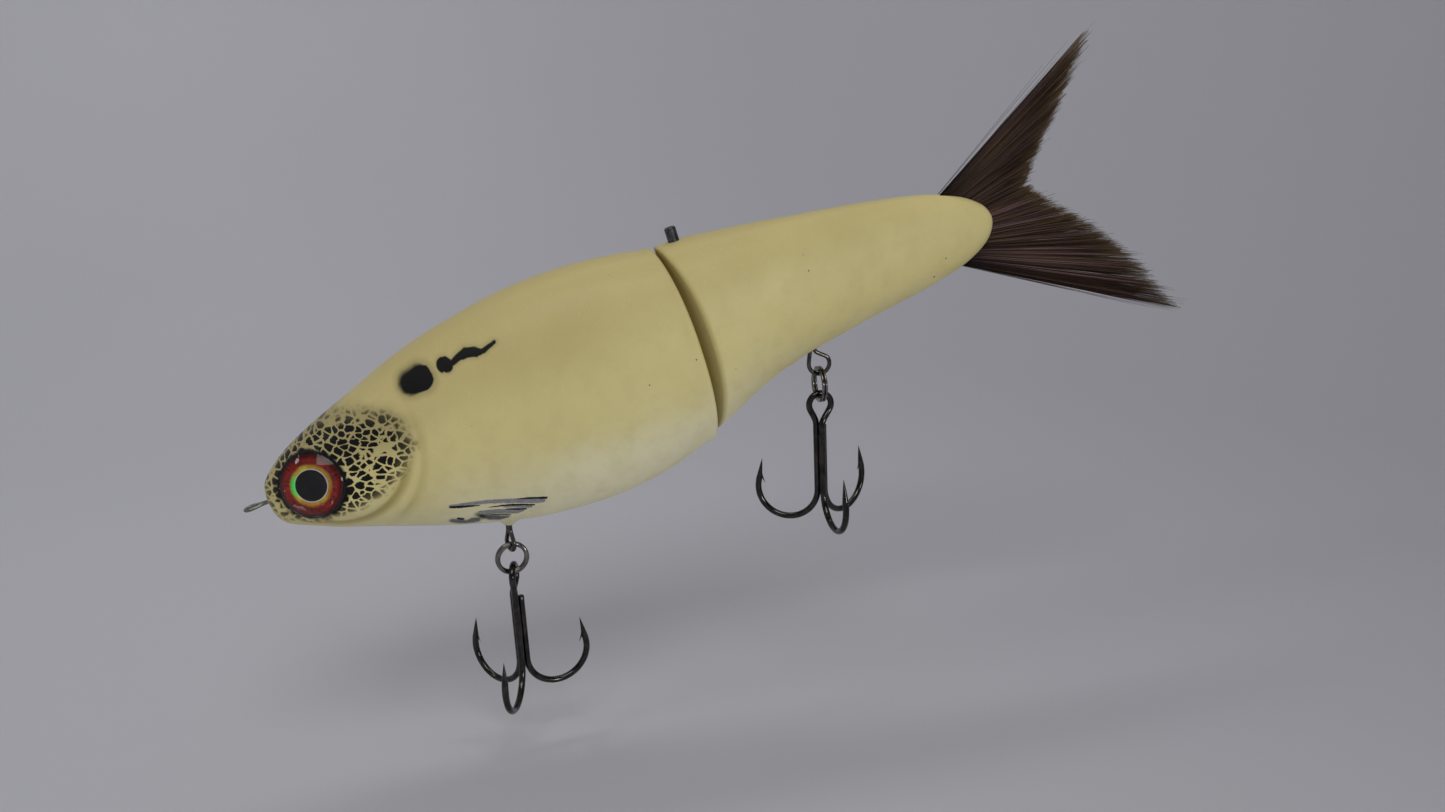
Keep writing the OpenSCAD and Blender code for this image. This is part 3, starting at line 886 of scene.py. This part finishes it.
def tail_rows():
    """Rings of the tail section from joint face to tip."""
    low, high, half = TAIL_END
    fillet = 0.6
    rows = []
    for narrow in np.linspace(0.02, 0.96, 12):
        inset = fillet + (1 - narrow) * 0.5
        rows.append((TAIL_FACE, low + inset, high - inset, (half - fillet) * narrow, TAIL_BOW))
    for q in np.linspace(1, 0.15, 7) * math.pi / 2:
        inset = fillet * (1 - math.cos(q))
        u_q = TAIL_FACE + fillet * (1 - math.sin(q))
        rows.append((u_q, low + inset, high - inset, half - inset, TAIL_BOW))
    seam = TAIL_FACE + fillet
    knots = [(seam, *TAIL_END)] + TAIL + TAIL_CAP
    end = TAIL_CAP[0][0]
    at = spline([-cap_parameter(k[0], end) for k in knots], [k[1:] for k in knots])
    t = np.concatenate([
        -np.linspace(cap_parameter(seam, end), cap_parameter(190, end), 90),
        -np.linspace(cap_parameter(190.5, end), 0.05, 60),
    ])
    u = end - t * t
    bow = TAIL_BOW * (1 - np.clip((u - seam) / (TAIL[0][0] - seam), 0, 1))
    rows += [(a, *v, b) for a, v, b in zip(u, at(t), bow)]
    return rows


RING_POINTS = 152


def eye_frame(side):
    """Matrix of an eye, its +Z pointing out of the head; side is -1 for -Y and 1 for +Y."""
    u, v, w = EYE_CENTRE
    place = Matrix.Translation((u * MM, -side * v * MM, w * MM))
    yaw = Matrix.Rotation(side * EYE_YAW, 4, "Z")
    tilt = Matrix.Rotation(-side * (math.pi / 2 - EYE_TILT), 4, "X")
    return BODY @ place @ yaw @ tilt


def socket_cutter(side):
    depth = 20
    part = lathe([(0, -0.1), (SOCKET_R, -0.1), (SOCKET_R, depth), (0, depth)], 128)
    return build("cutter", [part], eye_frame(side))


def make_front_skin():
    grid = relieve_front(skin_grid(front_rows(), RING_POINTS))
    skin = build("front_skin", [grid_mesh(grid)], BODY)
    carve(skin, [socket_cutter(-1), socket_cutter(1)])
    soften(skin, 38)
    dress(skin, front_paint(), "front_section", "front_body")


def hinge_slot_cutter(height):
    """A flat pocket from the tail's face to behind the pin, with a round end."""
    z0, z1 = height - HINGE_SLOT_H / 2, height + HINGE_SLOT_H / 2
    outline = [(TAIL_FACE - 2, -HINGE_SLOT_HALF), (TAIL_FACE - 2, HINGE_SLOT_HALF)]
    for k in range(25):
        a = math.pi / 2 - math.pi * k / 24
        outline.append((PIN_U + HINGE_SLOT_HALF * math.cos(a), HINGE_SLOT_HALF * math.sin(a)))
    return prism(outline, z0, z1, lambda p, q, h: (p, q, h))


def brush_slot_cutter():
    fall = math.tan(BRUSH_SLOT_HALF)
    outline = [(BRUSH_SLOT_REACH, -BRUSH_SLOT_REACH * fall), (BRUSH_SLOT_REACH, BRUSH_SLOT_REACH * fall)]
    for k in range(17):
        a = BRUSH_SLOT_HALF * (1 - 2 * k / 16)
        outline.append((BRUSH_SLOT_R0 * math.cos(a), BRUSH_SLOT_R0 * math.sin(a)))
    half = BRUSH_SLOT_T / 2
    return prism(outline, -half, half, lambda p, q, h: (FOCUS[0] + p, -h, FOCUS[1] + q))


def prism(outline, low, high, place):
    """A flat-sided cutter: an outline pushed from low to high."""
    count = len(outline)
    verts = [place(p, q, low) for p, q in outline] + [place(p, q, high) for p, q in outline]
    faces = [tuple(range(count)), tuple(range(2 * count - 1, count - 1, -1))]
    faces += [((i + 1) % count, i, i + count, (i + 1) % count + count) for i in range(count)]
    cutter = build("cutter", [(verts, faces)], BODY)
    tidy_normals(cutter)
    return cutter


def tidy_normals(piece):
    work = bmesh.new()
    work.from_mesh(piece.data)
    bmesh.ops.recalc_face_normals(work, faces=work.faces)
    work.to_mesh(piece.data)
    work.free()


def make_tail_skin():
    grid = relieve_tail(skin_grid(tail_rows(), RING_POINTS))
    skin = build("tail_skin", [grid_mesh(grid)], BODY)
    cutters = [hinge_slot_cutter(h) for h in HINGE_HEIGHTS]
    carve(skin, [*cutters, brush_slot_cutter()])
    soften(skin, 38)
    dress(skin, tail_paint(), "tail_section", "tail_body")


# ---------------------------------------------------------------- eyes


def make_eyes():
    for side, name in ((-1, "left"), (1, "right")):
        steps = [(0, 0), (EYE_R, 0), (EYE_R, FOIL_T - 0.05)]
        steps += [(r, FOIL_T + 0.02 * math.cos(r * 2.4)) for r in np.linspace(EYE_R - 0.05, 0.35, 28)]
        steps += [(0, FOIL_T + 0.02)]
        foil = build(f"{name}_eye_print", [lathe(steps)], eye_frame(side), 50)
        dress(foil, foil_material(name), "front_section", f"{name}_eye_foil")

        sphere = (EYE_R**2 + EYE_DOME**2) / (2 * EYE_DOME)
        base = FOIL_T + 0.06
        rim = EYE_R - 0.03
        dome = [(0, base), (rim - 0.12, base), (rim, base + 0.08)]
        for r in np.linspace(rim - 0.02, 0.25, 40):
            drop = sphere - math.sqrt(sphere**2 - r * r)
            dome.append((r, max(base + 0.12, FOIL_T + EYE_DOME - drop)))
        dome.append((0, FOIL_T + EYE_DOME))
        lens = build(f"{name}_eye_dome", [lathe(dome, 128)], eye_frame(side), 50)
        lens.visible_shadow = False
        dress(lens, lens_material(), "front_section", f"{name}_eye_lens")


# ---------------------------------------------------------------- wire parts


def arc(centre, radius, start, end, count, plane):
    """Points on an arc; plane maps (a, b) in the arc's plane to x, y, z."""
    points = []
    for a in np.linspace(math.radians(start), math.radians(end), count):
        points.append(plane(centre[0] + radius * math.cos(a), centre[1] + radius * math.sin(a)))
    return points


def curve(p0, t0, p1, t1, count):
    """Smooth curve from p0 to p1 with the given end directions (their length sets the swing)."""
    p0, t0, p1, t1 = (np.asarray(v, float) for v in (p0, t0, p1, t1))
    points = []
    for s in np.linspace(0, 1, count + 2)[1:-1]:
        a = 2 * s**3 - 3 * s**2 + 1
        b = s**3 - 2 * s**2 + s
        c = -2 * s**3 + 3 * s**2
        d = s**3 - s**2
        points.append(a * p0 + b * t0 + c * p1 + d * t1)
    return points


def make_line_tie(material):
    """A long loop: two wire ends side by side in the nose, opening into an eye."""
    wire, r = 0.9, 1.5
    half_gap = wire / 2 - 0.02
    eye_u = -NOSE_OUT
    path = [(10, half_gap, 0), (4, half_gap, 0), (0, half_gap, 0), (-1.4, half_gap, 0)]
    flat = lambda a, b: (a, b, 0.0)
    path += curve((-1.6, half_gap, 0), (-2.2, 0, 0), flat(eye_u + 0.55, r), (-1.6, 0.25, 0), 8)
    path += arc((eye_u, 0), r, 70, 290, 28, flat)
    path += curve(flat(eye_u + 0.55, -r), (1.6, 0.25, 0), (-1.6, -half_gap, 0), (2.2, 0, 0), 8)
    path += [(-1.4, -half_gap, 0), (0, -half_gap, 0), (4, -half_gap, 0), (10, -half_gap, 0)]
    tie = build("line_tie_wire", [sweep(path, wire / 2, 16)], BODY)
    dress(tie, material, "front_section", "line_tie")


def loop_plane(r):
    return lambda a, b: (a, 0.0, b + r)


def teardrop(r):
    """Front hanger: round at the bottom, both sides drawn together at the top."""
    flat = loop_plane(r)
    gap = HANGER_WIRE * 0.52
    neck, top = 2.75 * r, 2 * r + 12
    path = [(-gap, 0, top), (-gap, 0, neck + 0.2)]
    path += curve((-gap, 0, neck), (-0.6, 0, -r * 1.2), flat(-r, 0), (0, 0, -r * 0.9), 9)
    path += arc((0, 0), r, 180, 360, 26, flat)
    path += curve(flat(r, 0), (0, 0, r * 0.9), (gap, 0, neck), (-0.6, 0, r * 1.2), 9)
    path += [(gap, 0, neck + 0.2), (gap, 0, top)]
    return path


def bent_loop(r):
    """Rear hanger: one side runs well round the loop before it turns up into the belly."""
    flat = loop_plane(r)
    top = 2 * r + 12
    path = [(-2.6, 0, top), (-2.6, 0, 2.4 * r)]
    path += curve((-2.65, 0, 2.3 * r), (-0.2, 0, -r), flat(-r, 0), (0, 0, -r), 9)
    path += arc((0, 0), r, 180, 390, 34, flat)
    end = flat(r * math.cos(math.radians(30)), r * math.sin(math.radians(30)))
    path += curve(end, (-1.6, 0, 2.8), (-1.3, 0, 2.35 * r), (-0.7, 0, 3), 11)
    path += [(-1.35, 0, 2.5 * r), (-1.35, 0, top)]
    return path


def upright(x, z, turn):
    """Matrix of a hanging part: its place in the centre plane and its turn about the vertical."""
    return Matrix.Translation((x * MM, 0, z * MM)) @ Matrix.Rotation(math.radians(turn), 4, "Z")


def make_hangers(material):
    places = (
        ("front_hanger", FRONT_HANGER, teardrop, FRONT_HANGER_TURN, "front_section"),
        ("rear_hanger", REAR_HANGER, bent_loop, REAR_HANGER_TURN, "tail_section"),
    )
    for name, (x, z, r), shape, turn, body in places:
        wire = build(f"{name}_wire", [sweep(shape(r), HANGER_WIRE / 2, 16)], upright(x, z, turn))
        dress(wire, material, body, name)


def coil_path(inner):
    """Two turns of flattened wire lying side by side, with one crossover."""
    r = inner + RING_RADIAL / 2
    offset = RING_AXIAL / 4
    path = []
    for k in range(145):
        turn = 2 * math.pi * 1.93 * k / 144
        across = offset * math.tanh((turn - math.pi * 1.93) * 2.4)
        path.append((r * math.cos(turn + 0.9), across, r * math.sin(turn + 0.9)))
    return path


def make_rings(material):
    places = (
        ("front_split_ring", FRONT_RING_R, FRONT_HANGER[0], FRONT_RING_Z, FRONT_RING_TURN, "front_ring"),
        ("rear_split_ring", REAR_RING_R, REAR_HANGER[0], REAR_RING_Z, REAR_RING_TURN, "rear_ring"),
    )
    for name, inner, x, z, turn, body in places:
        path, radii = rounded(coil_path(inner), RING_RADIAL / 2, 3)
        flat = (RING_AXIAL / 4 - 0.03) / (RING_RADIAL / 2)
        ring = build(f"{name}_coil", [sweep(path, radii, 16, flat, (0, 1, 0))], upright(x, z, turn))
        dress(ring, material, body, name)


# ---------------------------------------------------------------- treble hooks


def turned(points, turn):
    c, s = math.cos(turn), math.sin(turn)
    return [(p[0] * c - p[1] * s, p[0] * s + p[1] * c, p[2]) for p in points]


def hook_path(top):
    """Shank, round bend, leg and point of one hook along +X, with its radii."""
    radius = HOOK_WIRE / 2
    bend_x = SHANK_OFFSET + BEND_R
    path = [(SHANK_OFFSET, 0, z) for z in np.linspace(top, BEND_Z + 0.4, 10)]
    lean = math.degrees(POINT_LEAN)
    path += arc((bend_x, BEND_Z), BEND_R, 180, 360 + lean, 44, lambda a, b: (a, 0.0, b))
    radii = [radius] * len(path)
    along = (-math.sin(POINT_LEAN), 0, math.cos(POINT_LEAN))
    foot = path[-1]
    for s in np.linspace(0.06, 1, 26):
        reach = s * POINT_LENGTH
        taper = min(1, max(0.02, (1 - s) / 0.86)) ** 0.85
        path.append(tuple(foot[k] + along[k] * reach for k in range(3)))
        radii.append(radius * taper)
    return path, radii


def barb_part(turn):
    """A sliver lifted from the inside of the point."""
    lean = POINT_LEAN
    bend_x = SHANK_OFFSET + BEND_R
    foot_x = bend_x + BEND_R * math.cos(lean)
    foot_z = BEND_Z + BEND_R * math.sin(lean)
    path, radii = [], []
    for s in np.linspace(0, 1, 12):
        reach = POINT_LENGTH * 0.52 - 3.9 * s
        inward = 0.15 + 1.95 * s**1.7
        x = foot_x - math.sin(lean) * reach - math.cos(lean) * inward
        z = foot_z + math.cos(lean) * reach - math.sin(lean) * inward
        path.append((x, 0, z))
        radii.append(0.42 * (1 - s) ** 0.75 + 0.03)
    return sweep(turned(path, turn), radii, 10)


def eye_path(turn_a, turn_b):
    """Wire from the top of shank a, round the treble's eye, to the top of shank b."""
    r = TREBLE_EYE_R
    plane = lambda a, b: (a, 0.0, b - r)
    foot = [(SHANK_OFFSET * math.cos(t), SHANK_OFFSET * math.sin(t), SHANK_TOP) for t in (turn_a, turn_b)]
    leave = math.radians(-20)
    side = (r * math.cos(leave), 0, r * math.sin(leave) - r)
    up = (0, 0, 5)
    path = curve(foot[0], up, side, (1.6, 0, 4.2), 9)
    path += arc((0, 0), r, -20, 200, 40, plane)
    path += curve((-side[0], 0, side[2]), (1.6, 0, -4.2), foot[1], (0, 0, -5), 9)
    return path


def double_hook_parts(turn_a, turn_b):
    path_a, radii_a = hook_path(SHANK_TOP)
    path_b, radii_b = hook_path(SHANK_TOP)
    middle = eye_path(turn_a, turn_b)
    path = turned(path_a, turn_a)[::-1] + middle + turned(path_b, turn_b)
    radii = radii_a[::-1] + [HOOK_WIRE / 2] * len(middle) + radii_b
    braze = [(0, 0, z) for z in np.linspace(SHANK_TOP - 1.2, BEND_Z + 5, 12)]
    braze_r = [0.3, 0.75] + [0.95] * 8 + [0.75, 0.25]
    return [sweep(path, radii, 18), sweep(braze, braze_r, 12), barb_part(turn_a), barb_part(turn_b)]


def single_hook_parts(turn):
    path, radii = hook_path(SINGLE_HOOK_TOP)
    top = path[0]
    path = [(top[0], top[1], top[2] + 0.22)] + path
    radii = [radii[0] * 0.78] + radii
    return [sweep(turned(path, turn), radii, 18), barb_part(turn)]


def make_trebles(material):
    """Each treble: a double hook whose wire makes the eye, and a single hook brazed to it."""
    places = (
        ("front_treble", FRONT_HANGER[0], FRONT_TREBLE_Z, FRONT_TREBLE_TURN, FRONT_HOOKS),
        ("rear_treble", REAR_HANGER[0], REAR_TREBLE_Z, REAR_TREBLE_TURN, REAR_HOOKS),
    )
    for name, x, z, turn, hooks in places:
        first, second, third = (math.radians(h) for h in hooks)
        pair = build(f"{name}_pair", double_hook_parts(first, second), upright(x, z, turn))
        single = build(f"{name}_single", single_hook_parts(third), upright(x, z, turn), 55)
        for piece, node in ((pair, "double_hook"), (single, "single_hook")):
            dress(piece, material, name, f"{name}_{node}")


# ---------------------------------------------------------------- tail brush


def strand(rng, angle, root, tip, width):
    """One tapered fibre from the root to its tip, with a slight bend."""
    y0 = rng.uniform(-1, 1) * FAN_T * 0.44
    splay = y0 * rng.uniform(0.9, 1.5) + rng.gauss(0, 0.25)
    bend = rng.gauss(0, 0.35)
    wander = rng.gauss(0, 0.004)
    sides, rows = 3, 6
    verts, reaches = [], []
    spin = rng.uniform(0, math.tau)
    for j in range(rows + 1):
        s = j / rows
        r = root + (tip - root) * s
        a = math.radians(angle) + wander * s + bend * s * s / max(r, 1)
        y = y0 + (splay - y0) * s * s
        radius = width * (1 - 0.72 * s**2.5)
        c, d = math.cos(a), math.sin(a)
        for k in range(sides):
            q = spin + math.tau * k / sides
            off = radius * math.cos(q)
            verts.append((FOCUS[0] + r * c - off * d, y + radius * math.sin(q), FOCUS[1] + r * d + off * c))
            reaches.append(r)
    faces = ring_faces(rows + 1, sides)
    faces.append(tuple(range(sides))[::-1])
    faces.append(tuple(rows * sides + k for k in range(sides)))
    return (verts, faces), reaches


def lobe_length(share, lobe):
    tip, power = lobe
    return NOTCH_R + (tip - NOTCH_R) * share**power


def make_lobe(name, node, edge, lobe, count, seed, material):
    """A fan of fibres between the notch and its outer edge, cut to a ragged hollow outline."""
    rng = random.Random(seed)
    start = NOTCH_ANGLE + math.copysign(0.4, edge)
    clumps = [(rng.uniform(0, 1), rng.gauss(0, 1), rng.random()) for _ in range(46)]
    clumps.sort()
    parts, tone, reach = [], [], []

    def add(part, part_reach, full, hue):
        parts.append(part)
        tone.extend([hue] * len(part_reach))
        reach.extend(r / full for r in part_reach)

    for index in range(count):
        share = (index + rng.random()) / count
        near = min(clumps, key=lambda c: abs(c[0] - share))
        pull = rng.uniform(0.2, 0.75) * (near[0] - share) * 0.5
        angle = start + (edge - start) * min(1, max(0, share + pull))
        full = lobe_length(share, lobe)
        cut = 1 - abs(rng.gauss(0, 0.025)) - (0.03 * abs(near[1]) if rng.random() < 0.6 else 0)
        if rng.random() < 0.10:
            cut -= rng.uniform(0.02, 0.25)
        if rng.random() < 0.08:
            cut += rng.uniform(0.0, 0.05)
        hue = min(1, max(0, 0.35 * near[2] + 0.65 * rng.random()))
        thick = 0.085 + 0.12 * rng.random() ** 3
        part, part_reach = strand(rng, angle, ROOT_R, full * cut, thick)
        add(part, part_reach, full, hue)
    for k in range(STRAY_FIBRES):
        angle = edge + math.copysign(0.35 + 0.35 * k * rng.random(), edge)
        part, part_reach = strand(rng, angle, STRAY_ROOT_R, lobe[0] * rng.uniform(0.8, 1.0), 0.07)
        add(part, part_reach, lobe[0], rng.random())
    brush = build(name, parts, BODY, 180)
    for label, values in (("tone", tone), ("reach", reach)):
        layer = brush.data.attributes.new(label, "FLOAT", "POINT")
        layer.data.foreach_set("value", np.array(values, np.float32))
    dress(brush, material, "tail_section", node)


def make_brush():
    upper = bristle_material("upper_bristle", (0.072, 0.041, 0.046))
    lower = bristle_material("lower_bristle", (0.27, 0.165, 0.185))
    make_lobe("upper_lobe", "upper_bristles", FAN_HALF_ANGLE, UPPER_LOBE, 1700, 11, upper)
    make_lobe("lower_lobe", "lower_bristles", -FAN_HALF_ANGLE, LOWER_LOBE, 2300, 23, lower)


# ---------------------------------------------------------------- hinge pin and hidden parts


def make_pin(material):
    """Dark steel pin with a filed, slightly domed end."""
    r = PIN_D / 2
    profile = [(0, PIN_BOTTOM), (r, PIN_BOTTOM), (r, PIN_TOP - 0.5), (r - 0.12, PIN_TOP - 0.2)]
    profile += [(r - 0.45, PIN_TOP - 0.03), (0.4, PIN_TOP), (0, PIN_TOP)]
    matrix = BODY @ Matrix.Translation((PIN_U * MM, 0, 0))
    pin = build("hinge_pin_rod", [lathe(profile, 64)], matrix)
    dress(pin, material, "tail_section", "hinge_pin")


def dress_hidden(steel):
    """Node-based materials for the CAD parts that stay: ballast, plugs, anchor and hinge eyes."""
    lead, filler, glue = lead_material(), filler_material(), glue_material()
    finishes = {
        "front_ballast": lead, "middle_ballast": lead, "tail_ballast": lead,
        "front_ballast_plug": filler, "middle_ballast_plug": filler, "tail_ballast_plug": filler,
        "bristle_anchor": glue, "upper_hinge_eye": steel, "lower_hinge_eye": steel,
    }
    for node, material in finishes.items():
        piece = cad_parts[node]
        piece.data.materials.clear()
        piece.data.materials.append(material)


# ---------------------------------------------------------------- stage

CAMERA_PLACE = (54.9, -302.5, 102.4)
CAMERA_AZIMUTH = math.radians(-14)
CAMERA_ELEVATION = math.radians(16)
CAMERA_ROLL = math.radians(-2.7)
CAMERA_LENS = 27.9

# Lamps: name, place and target in metres, size in metres, power in watts, spread in degrees
LURE = (0.1, 0, 0)
LAMPS = [
    ("key", (0.05, -0.5, 0.7), LURE, (0.5, 0.35), 2.1, 180),
    ("left", (-0.62, -0.12, 0.52), LURE, (0.12, 0.12), 0.4, 180),
    ("right", (0.42, -0.6, 0.08), LURE, (0.08, 0.14), 0.085, 60),
    ("backdrop", (0.15, 0.2, 0.7), (0.15, 0.95, 0.1), (0.6, 0.3), 1.7, 180),
]
SKY_COLOUR = (0.9, 0.92, 1.0, 1)
SKY_STRENGTH = 0.30

SWEEP_CENTRE_X = 100
SWEEP_FLAT_R = 430
SWEEP_WALL_R = 950
SWEEP_BEND_H = 420


def make_camera():
    a, e = CAMERA_AZIMUTH, CAMERA_ELEVATION
    back = Vector((math.sin(a) * math.cos(e), -math.cos(a) * math.cos(e), math.sin(e)))
    right = Vector((math.cos(a), math.sin(a), 0))
    up = back.cross(right)
    turned_right = right * math.cos(CAMERA_ROLL) + up * math.sin(CAMERA_ROLL)
    turned_up = up * math.cos(CAMERA_ROLL) - right * math.sin(CAMERA_ROLL)
    data = bpy.data.cameras.new("camera")
    data.lens = CAMERA_LENS
    data.sensor_width = 36
    data.clip_start = 0.01
    data.clip_end = 20
    camera = bpy.data.objects.new("camera", data)
    rotation = Matrix((turned_right, turned_up, back)).transposed().to_4x4()
    camera.matrix_world = Matrix.Translation([c * MM for c in CAMERA_PLACE]) @ rotation
    bpy.context.scene.collection.objects.link(camera)
    bpy.context.scene.camera = camera


def make_sweep():
    """A round studio sweep: flat floor curving up into a wall on every side."""
    profile = [(r, FLOOR_Z) for r in (0.001, 60, 140, 240, 340, SWEEP_FLAT_R)]
    bend = SWEEP_WALL_R - SWEEP_FLAT_R
    for k in range(1, 19):
        a = math.pi / 2 * k / 18
        profile.append((SWEEP_FLAT_R + bend * math.sin(a), FLOOR_Z + SWEEP_BEND_H * (1 - math.cos(a))))
    profile += [(SWEEP_WALL_R, FLOOR_Z + SWEEP_BEND_H + 130 * k) for k in range(1, 9)]
    segments = 128
    verts = []
    for r, z in profile:
        for i in range(segments):
            a = 2 * math.pi * i / segments
            verts.append((SWEEP_CENTRE_X + r * math.cos(a), r * math.sin(a), z))
    faces = ring_faces(len(profile), segments)
    sweep_piece = build("studio_sweep", [(verts, faces)], sharp=180)
    sweep_piece.data.materials.append(floor_material())


def area_light(name, place, target, size, power, spread):
    data = bpy.data.lights.new(name, "AREA")
    data.shape = "RECTANGLE"
    data.size, data.size_y = size
    data.energy = power
    data.spread = math.radians(spread)
    lamp = bpy.data.objects.new(name, data)
    direction = Vector(target) - Vector(place)
    rotation = direction.to_track_quat("-Z", "Y").to_matrix().to_4x4()
    lamp.matrix_world = Matrix.Translation(place) @ rotation
    bpy.context.scene.collection.objects.link(lamp)


def make_lights():
    for name, place, target, size, power, spread in LAMPS:
        area_light(name, place, target, size, power, spread)
    bpy.context.scene.view_settings.view_transform = "Standard"
    world = bpy.data.worlds.new("studio")
    world.use_nodes = True
    background = next(n for n in world.node_tree.nodes if n.type == "BACKGROUND")
    background.inputs["Color"].default_value = SKY_COLOUR
    background.inputs["Strength"].default_value = SKY_STRENGTH
    bpy.context.scene.world = world


# ---------------------------------------------------------------- the scene

make_camera()
make_sweep()
make_lights()

steel = metal("drawn_steel", (0.17, 0.165, 0.15), (0.30, 0.29, 0.26), 0.5)
dark_wire = metal("dark_wire", (0.07, 0.065, 0.06), (0.17, 0.155, 0.14), 0.3)
ring_metal = metal("ring_nickel", (0.12, 0.112, 0.105), (0.29, 0.265, 0.25), 0.26)
black_nickel = metal("black_nickel", (0.034, 0.032, 0.030), (0.078, 0.071, 0.067), 0.2)
pin_steel = metal("pin_steel", (0.05, 0.05, 0.055), (0.14, 0.14, 0.145), 0.6, 1.4, 0.4)

make_front_skin()
make_tail_skin()
make_eyes()
make_line_tie(steel)
make_hangers(dark_wire)
make_rings(ring_metal)
make_trebles(black_nickel)
make_brush()
make_pin(pin_steel)
dress_hidden(steel)
